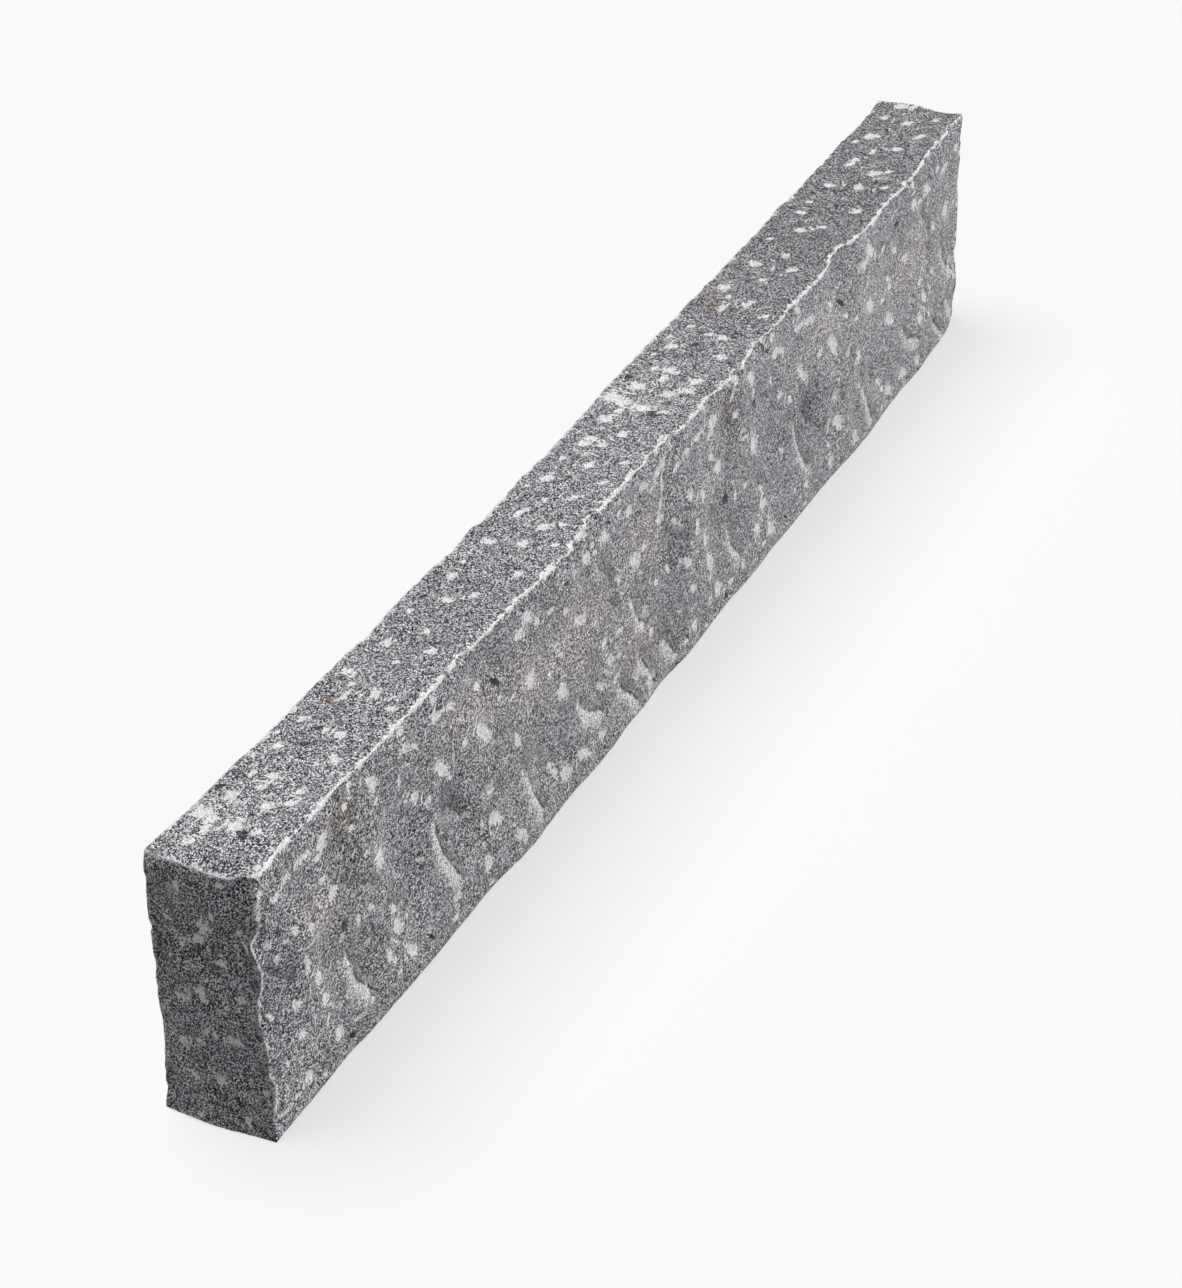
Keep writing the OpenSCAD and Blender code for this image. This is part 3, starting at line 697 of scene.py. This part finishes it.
def granite(settings):
    """Interlocked crystals of grey feldspar and quartz with black mica, pale where the stone is bruised, with
    painted shade behind the flake lips and painted light and shade in some soft patches.
    """
    material = bpy.data.materials.new("granite")
    material.use_nodes = True
    tree = material.node_tree
    tree.nodes.clear()
    graph = Graph(tree)
    where = graph.add("ShaderNodeTexCoord", (), "Object")
    grain = settings.grain_size

    def crystals(size, salt):
        """A random share for each crystal, and how far from its middle a place is, in crystal sizes."""
        cell = graph.add(
            "ShaderNodeTexVoronoi", {"Vector": rough_place + (salt, salt, salt), "Scale": 1 / size}, "Color",
            feature="F1",
        )
        return graph.add("ShaderNodeSeparateColor", {0: cell}, 0), cell.other("Distance")

    def mixed(factor, first, second, blend="MIX"):
        return graph.add(
            "ShaderNodeMix", {"Factor": factor, "A": first, "B": second}, "Result", data_type="RGBA",
            blend_type=blend, clamp_factor=True,
        )

    def attribute(name, out):
        return graph.add("ShaderNodeAttribute", (), out, attribute_name=name, attribute_type="GEOMETRY")

    # Crystals of three sizes, each a dot with its own level that sinks into the ground at its rim
    crook = where.noise(1.5 * grain, 2.0, out="Color")
    rough_place = where + (crook - (0.5, 0.5, 0.5)) * (0.3 * grain)

    def dots(size, salt):
        """Lighter than the ground for the shares near 1, and darker for those near 0."""
        kind, distance = crystals(size, salt)
        lightness = kind.rise(0.58, 0.75) * 0.5 - (1 - kind.rise(0.28, 0.42)) * 0.8
        return lightness * (1 - distance.rise(0.46, 0.6))

    middling = dots(1.15 * grain, 0.0)
    level = 0.54 + middling * 1.15 + dots(1.9 * grain, 3.0) * 0.2 + dots(0.95 * grain, 7.0) * 1.25
    stone = graph.add("ShaderNodeValToRGB", {0: level}, "Color", stops=MINERALS)

    # Soft clouds and streaks of lighter and darker stone, and the stored patches: browner ones, and lighter
    # and darker ones that are partly painted light and shade
    drawn_out = graph.add(
        "ShaderNodeVectorMath", {0: STREAK_WAY, "Scale": where.dot(STREAK_WAY) * 0.6}, operation="SCALE"
    )
    streaks = graph.add(
        "ShaderNodeTexNoise", {"Vector": where - drawn_out, "Scale": 110.0, "Detail": 3.0}, "Fac"
    )
    patch, warmth, wear = graph.parts(attribute("patch", "Vector"))
    clouds = (where.noise(0.05, 3.0) - 0.5) * 0.22 + (where.noise(0.16, 2.0, salt=5.0) - 0.5) * 0.12
    clouds = (1 + clouds + (streaks - 0.5) * 0.55) * (1 + patch)
    worn = (where.noise(0.03, 3.0, 0.6, salt=31.0) + patch * 0.9 + (streaks - 0.5) * 0.3).rise(0.4, 0.68)
    stone = mixed(worn * wear * 0.2, stone, WORN)
    red, green, blue = 1 + warmth * 0.08, 0.99 - warmth * 0.015, 1.03 - warmth * 0.14
    cloud_colour = graph.add("ShaderNodeCombineColor", {0: clouds * red, 1: clouds * green, 2: clouds * blue})
    stone = mixed(1.0, stone, cloud_colour, "MULTIPLY")

    # Where the point struck: crushed white crystals, fewer and fewer towards a ragged rim
    fray = where.noise(0.0022, 3.0, 0.65, 2.0)
    frayed = where.noise(0.006, 2.0, 0.5, 6.0)
    lobed = where.noise(0.0035, 2.0, 0.6, 13.0)
    ragged = (fray - 0.5) * 1.6 + (frayed - 0.5) * 1.4 + (lobed - 0.5) * 2.0 - middling * 0.7
    pale, dark, rust = graph.parts(attribute("mark_tone", "Vector"))
    far_out = attribute("mark", "Vector").length()
    reach = far_out * (1.0 + ragged).at_least(0.7) + (1 - pale) * 0.25
    bruise = (1 - reach.rise(0.84, 0.96)) * pale.rise(0.0, 0.25)
    dust = mixed(level.rise(0.0, 0.4), *DUST)
    halo = (1 - reach.rise(0.7, 2.0)) * pale
    stone = mixed(halo * 0.17, stone, HALO)
    stone = mixed(bruise * 0.97, stone, dust)
    fleck_kind, fleck_reach = crystals(0.013, 19.0)
    fleck_reach = fleck_reach * (1 + ragged * 1.2).at_least(0.5)
    fleck = (1 - (fleck_reach + (1 - fleck_kind) * 0.3).rise(0.16, 0.24)) * wear
    stone = mixed(fleck * 0.7, stone, dust)
    # The listed dark specks
    dark_speck = 1 - (far_out * (1 + (fray - 0.5) * 2.0) + middling * 0.4).rise(0.75, 1.2)
    stone = mixed(dark_speck * dark.rise(0.0, 0.9) * 0.93, stone, DARK_SPECK_COLOUR)
    stone = mixed((1 - (far_out + (fray - 0.5)).rise(0.6, 1.2)) * rust * 0.8, stone, RUST)

    # The pale lip of a flake, and painted shade on the step behind it
    lip, past, lip_pale = graph.parts(attribute("lip", "Vector"))
    from_lip = (lip + 1.2) / 5.8
    past_lip = past / 5.0
    from_lip = (from_lip * from_lip + past_lip * past_lip) ** 0.5
    from_lip = from_lip * (1 + ragged).at_least(0.6) + (where.noise(0.009, 1.0, salt=21.0) - 0.5) * 2.2
    crushed_lip = (1 - (from_lip + (1 - lip_pale) * 0.6).rise(0.6, 0.95)) * lip_pale.rise(0.1, 0.6)
    stone = mixed((1 - from_lip.rise(0.8, 2.2)) * lip_pale * 0.3, stone, HALO)
    stone = mixed(crushed_lip * level.rise(-0.25, 0.85) * 0.93, stone, dust)
    # A painted shadow line along the undercut of the step, and softer painted shade over the recess behind it
    held = 1 - (past + (frayed - 0.5) * 6.0).rise(2.0, 6.0)
    edge = lip + (frayed - 0.5) * 3.0
    line = edge.rise(2.2, 3.0) * (1 - edge.rise(3.4, 5.0)) * held * frayed.rise(0.4, 0.5)
    painted_step_shade = edge.rise(1.6, 3.0) * (1 - edge.rise(5.0, 14.0)) * held
    stone = mixed(line * (lip_pale * 0.15 + 0.2) + painted_step_shade * 0.3, stone, PAINTED_SHADE)

    # The crushed line along each arris, wider towards the near end and fainter on the end itself
    along = where.dot((1.0, 0.0, 0.0))
    near = 1 - along.rise(-0.501, -0.494)
    arris = attribute("arris", "Fac") * (1 + ragged * 1.3).at_least(0.5)
    arris = arris + (where.noise(0.012, 2.0, salt=23.0) - 0.5) * 4.0 + (frayed - 0.5) * 4.0
    # At the near end the line is whiter on the faces that turn up: crushed crystals, and partly a painted
    # highlight where the rim catches the light
    arris = arris + along * 0.4 + 0.6 - near * (1 - wear) * 1.2
    crushed = (1 - arris.rise(1.5, 2.1)) * where.dot((0.0, 0.0, 1.0)).rise(0.008, 0.02)
    crushed = crushed * (1 - attribute("end_on", "Fac") * 0.75)
    stone = mixed(crushed * 0.95, stone, dust)

    # Relief finer than the mesh
    height = level * 0.3 + fray * 0.8 + line * lip_pale * -1.6 + bruise * (lobed * 3.0 - 2.2) + streaks * 0.8
    bump = graph.add(
        "ShaderNodeBump", {"Strength": settings.grain_relief, "Distance": 0.0006, "Height": height}, "Normal"
    )
    rough = 0.86 - level * 0.08 + bruise * 0.06
    skin = graph.add(
        "ShaderNodeBsdfPrincipled",
        {"Base Color": stone, "Roughness": rough, "Normal": bump, "Specular IOR Level": 0.35, "IOR": 1.5},
    )
    graph.add("ShaderNodeOutputMaterial", {"Surface": skin})
    return material


# ---------------------------------------------------------------- what a user sets


class StoneSettings(bpy.types.PropertyGroup):
    """How the stone is hewn and what its granite looks like."""

    fineness: bpy.props.IntProperty(
        name="Fineness", description="How many times the packed block's facets are divided",
        default=2, min=0, max=3,
    )
    relief_height: bpy.props.FloatProperty(
        name="Relief Height", description="Height of the chipped lumps", default=0.0009, subtype="DISTANCE",
        unit="LENGTH",
    )
    lump_size: bpy.props.FloatProperty(
        name="Lump Size", description="Size of the chipped lumps", default=0.016, subtype="DISTANCE",
        unit="LENGTH",
    )
    pit_depth: bpy.props.FloatProperty(
        name="Pit Depth", description="Depth of the pits that chips leave", default=0.0006,
        subtype="DISTANCE", unit="LENGTH",
    )
    mark_depth: bpy.props.FloatProperty(
        name="Mark Depth", description="Depth of a full bruise", default=0.0005, subtype="DISTANCE",
        unit="LENGTH",
    )
    arris_wear: bpy.props.FloatProperty(
        name="Arris Wear", description="How deep the arrises are nibbled", default=0.003, subtype="DISTANCE",
        unit="LENGTH",
    )
    mark_spacing: bpy.props.FloatProperty(
        name="Mark Spacing", description="Least distance between marks on the back, the far end and the bed",
        default=0.015, subtype="DISTANCE", unit="LENGTH",
    )
    seed: bpy.props.IntProperty(
        name="Seed", description="Which random marks the hidden faces get", default=11
    )
    grain_size: bpy.props.FloatProperty(
        name="Grain Size", description="Usual size of a crystal", default=0.00076, subtype="DISTANCE",
        unit="LENGTH",
    )
    grain_relief: bpy.props.FloatProperty(
        name="Grain Relief", description="How strongly the crystals stand out", default=0.8, subtype="FACTOR"
    )


class StudioSettings(bpy.types.PropertyGroup):
    """Where the camera stands and how the stone is lit."""

    camera_place: bpy.props.FloatVectorProperty(
        name="Camera Place", description="Where the camera stands", default=(-1.6303, -0.7232, 1.0654),
        subtype="TRANSLATION", unit="LENGTH",
    )
    camera_target: bpy.props.FloatVectorProperty(
        name="Camera Target", description="The point in the middle of the view",
        default=(-0.1293, -0.0326, 0.075), subtype="TRANSLATION", unit="LENGTH",
    )
    camera_roll: bpy.props.FloatProperty(
        name="Camera Roll", description="How far the camera leans", default=math.radians(-0.94),
        subtype="ANGLE",
    )
    lens: bpy.props.FloatProperty(
        name="Lens", description="Focal length of the camera", default=96.63, subtype="DISTANCE_CAMERA"
    )
    key_level: bpy.props.FloatProperty(
        name="Key Level", description="Level of the soft light from above, where 1 shows a colour as it is",
        default=0.5, subtype="FACTOR",
    )
    fill_level: bpy.props.FloatProperty(
        name="Fill Level", description="Level of the soft light on the front", default=0.87, subtype="FACTOR"
    )
    sky_level: bpy.props.FloatProperty(
        name="Sky Level", description="Level of the even light from all round", default=0.1, subtype="FACTOR"
    )
    bounce: bpy.props.FloatProperty(
        name="Floor Bounce", description="Share of the light that the floor sends back to the stone",
        default=0.42, subtype="FACTOR",
    )
    floor_colour: bpy.props.FloatVectorProperty(
        name="Floor Colour", description="Colour of the floor", default=(0.968, 0.962, 0.963), subtype="COLOR"
    )


# ---------------------------------------------------------------- operators


class EDGING_OT_hewn_stone(bpy.types.Operator):
    """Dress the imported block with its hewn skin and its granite"""

    bl_idname = "edging.hewn_stone"
    bl_label = "Hewn Stone"

    def execute(self, context):
        settings = context.scene.edging_stone
        block = welded_block()
        marks, flakes = mark_points(), flake_wires()
        modifier = block.modifiers.new("hewing", "NODES")
        modifier.node_group = hewing_tree()
        values = {
            "Fineness": settings.fineness, "Relief Height": settings.relief_height,
            "Lump Size": settings.lump_size, "Pit Depth": settings.pit_depth,
            "Mark Depth": settings.mark_depth, "Arris Wear": settings.arris_wear,
            "Mark Spacing": settings.mark_spacing, "Seed": settings.seed,
            "Marks": marks, "Flakes": flakes, "Granite": granite(settings),
        }
        for item in modifier.node_group.interface.items_tree:
            if item.in_out == "INPUT" and item.name in values:
                modifier[item.identifier] = values[item.name]
        context.view_layer.update()
        depsgraph = context.evaluated_depsgraph_get()
        mesh = bpy.data.meshes.new_from_object(block.evaluated_get(depsgraph), depsgraph=depsgraph)
        if len(mesh.polygons) < LEAST_FACES:
            raise RuntimeError("The hewn skin came out with too few faces")
        for thing in (block, marks, flakes):
            bpy.data.objects.remove(thing)
        stone = bpy.data.objects.new("hewn_stone", mesh)
        mesh.name = "hewn_stone"
        nicked(mesh)
        patched(mesh)
        context.scene.collection.objects.link(stone)
        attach(stone, "root")
        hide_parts(NODE)
        return {"FINISHED"}


# Half the side of the floor, and how far it lies below the bed so that the two don't share a plane
FLOOR_HALF, FLOOR_GAP = 8.0, 0.2 * MM

# Each lamp's side, spread in degrees and colour, and the colours of the sky and of the wall behind the stone
KEY = ((0.0, 0.35, 1.0), 40, (0.985, 1.015, 1.01))
FILL = ((0.9, -0.8, 0.6), 25, (1.0, 1.0, 1.0))
SKY_COLOUR, WALL_COLOUR = (1.0, 0.965, 1.05), (0.955, 0.955, 0.955)


class EDGING_OT_studio(bpy.types.Operator):
    """Set up the pale floor, the soft light and the camera"""

    bl_idname = "edging.studio"
    bl_label = "Studio"

    def execute(self, context):
        settings = context.scene.edging_studio
        scene = context.scene
        scene.view_settings.view_transform = "Standard"

        mesh = bpy.data.meshes.new("floor")
        corners = [(x * FLOOR_HALF, y * FLOOR_HALF, 0) for x, y in ((-1, -1), (1, -1), (1, 1), (-1, 1))]
        mesh.from_pydata(corners, [], [(0, 1, 2, 3)])
        floor = bpy.data.objects.new("floor", mesh)
        floor.location.z = LOW.z - FLOOR_GAP
        scene.collection.objects.link(floor)
        mesh.materials.append(self.floor_finish(settings))

        world = bpy.data.worlds.new("studio")
        world.use_nodes = True
        world.node_tree.nodes.clear()
        graph = Graph(world.node_tree)
        path = graph.add("ShaderNodeLightPath", (), "Is Camera Ray")
        sky = graph.add("ShaderNodeBackground", {"Color": SKY_COLOUR, "Strength": settings.sky_level})
        wall = graph.add("ShaderNodeBackground", {"Color": WALL_COLOUR, "Strength": 1.0})
        shown = graph.add("ShaderNodeMixShader", {0: path, 1: sky, 2: wall})
        graph.add("ShaderNodeOutputWorld", {"Surface": shown})
        scene.world = world

        self.lamp(context, "key", *KEY, settings.key_level)
        self.lamp(context, "fill", *FILL, settings.fill_level).use_shadow = False

        data = bpy.data.cameras.new("camera")
        data.lens = settings.lens
        data.sensor_width = 36
        camera = bpy.data.objects.new("camera", data)
        place, target = Vector(settings.camera_place), Vector(settings.camera_target)
        camera.location = place
        look = (target - place).to_track_quat("-Z", "Y") @ Quaternion((0, 0, 1), settings.camera_roll)
        camera.rotation_euler = look.to_euler()
        scene.collection.objects.link(camera)
        scene.camera = camera
        return {"FINISHED"}

    def lamp(self, context, name, side, spread, colour, level):
        """Even soft light from one side, over a spread in degrees."""
        data = bpy.data.lights.new(name, "SUN")
        data.angle, data.color, data.energy = math.radians(spread), colour, math.pi * level
        lamp = bpy.data.objects.new(name, data)
        lamp.location = Vector(side) * 2
        lamp.rotation_euler = (-Vector(side)).to_track_quat("-Z", "Y").to_euler()
        context.scene.collection.objects.link(lamp)
        return data

    def floor_finish(self, settings):
        """Matt white, which shows nearly its own colour and keeps a faint shadow."""
        material = bpy.data.materials.new("floor")
        material.use_nodes = True
        material.node_tree.nodes.clear()
        graph = Graph(material.node_tree)
        path = graph.add("ShaderNodeLightPath", (), "Is Camera Ray")
        colour = tuple(settings.floor_colour)
        matt = graph.add("ShaderNodeBsdfDiffuse", {"Color": colour})
        plain = graph.add("ShaderNodeEmission", {"Color": colour, "Strength": 1.0})
        bounce = graph.add("ShaderNodeBsdfDiffuse", {"Color": [settings.bounce] * 3})
        seen = graph.add("ShaderNodeMixShader", {0: 0.5, 1: matt, 2: plain})
        shown = graph.add("ShaderNodeMixShader", {0: path, 1: bounce, 2: seen})
        graph.add("ShaderNodeOutputMaterial", {"Surface": shown})
        return material


class EDGING_PT_panel(bpy.types.Panel):
    """Lists the stone and its studio"""

    bl_label = "Edging Stone"
    bl_idname = "EDGING_PT_panel"
    bl_space_type = "VIEW_3D"
    bl_region_type = "UI"
    bl_category = "Edging Stone"

    def draw(self, context):
        for group, operator in (("edging_stone", "edging.hewn_stone"), ("edging_studio", "edging.studio")):
            settings = getattr(context.scene, group)
            box = self.layout.box()
            for name in settings.__annotations__:
                box.prop(settings, name)
            box.operator(operator)


CLASSES = (StoneSettings, StudioSettings, EDGING_OT_hewn_stone, EDGING_OT_studio, EDGING_PT_panel)


def register():
    for each in CLASSES:
        bpy.utils.register_class(each)
    bpy.types.Scene.edging_stone = bpy.props.PointerProperty(type=StoneSettings)
    bpy.types.Scene.edging_studio = bpy.props.PointerProperty(type=StudioSettings)


def unregister():
    del bpy.types.Scene.edging_studio
    del bpy.types.Scene.edging_stone
    for each in reversed(CLASSES):
        bpy.utils.unregister_class(each)


def main():
    register()
    bpy.ops.edging.studio()
    bpy.ops.edging.hewn_stone()


if __name__ == "__main__":
    main()
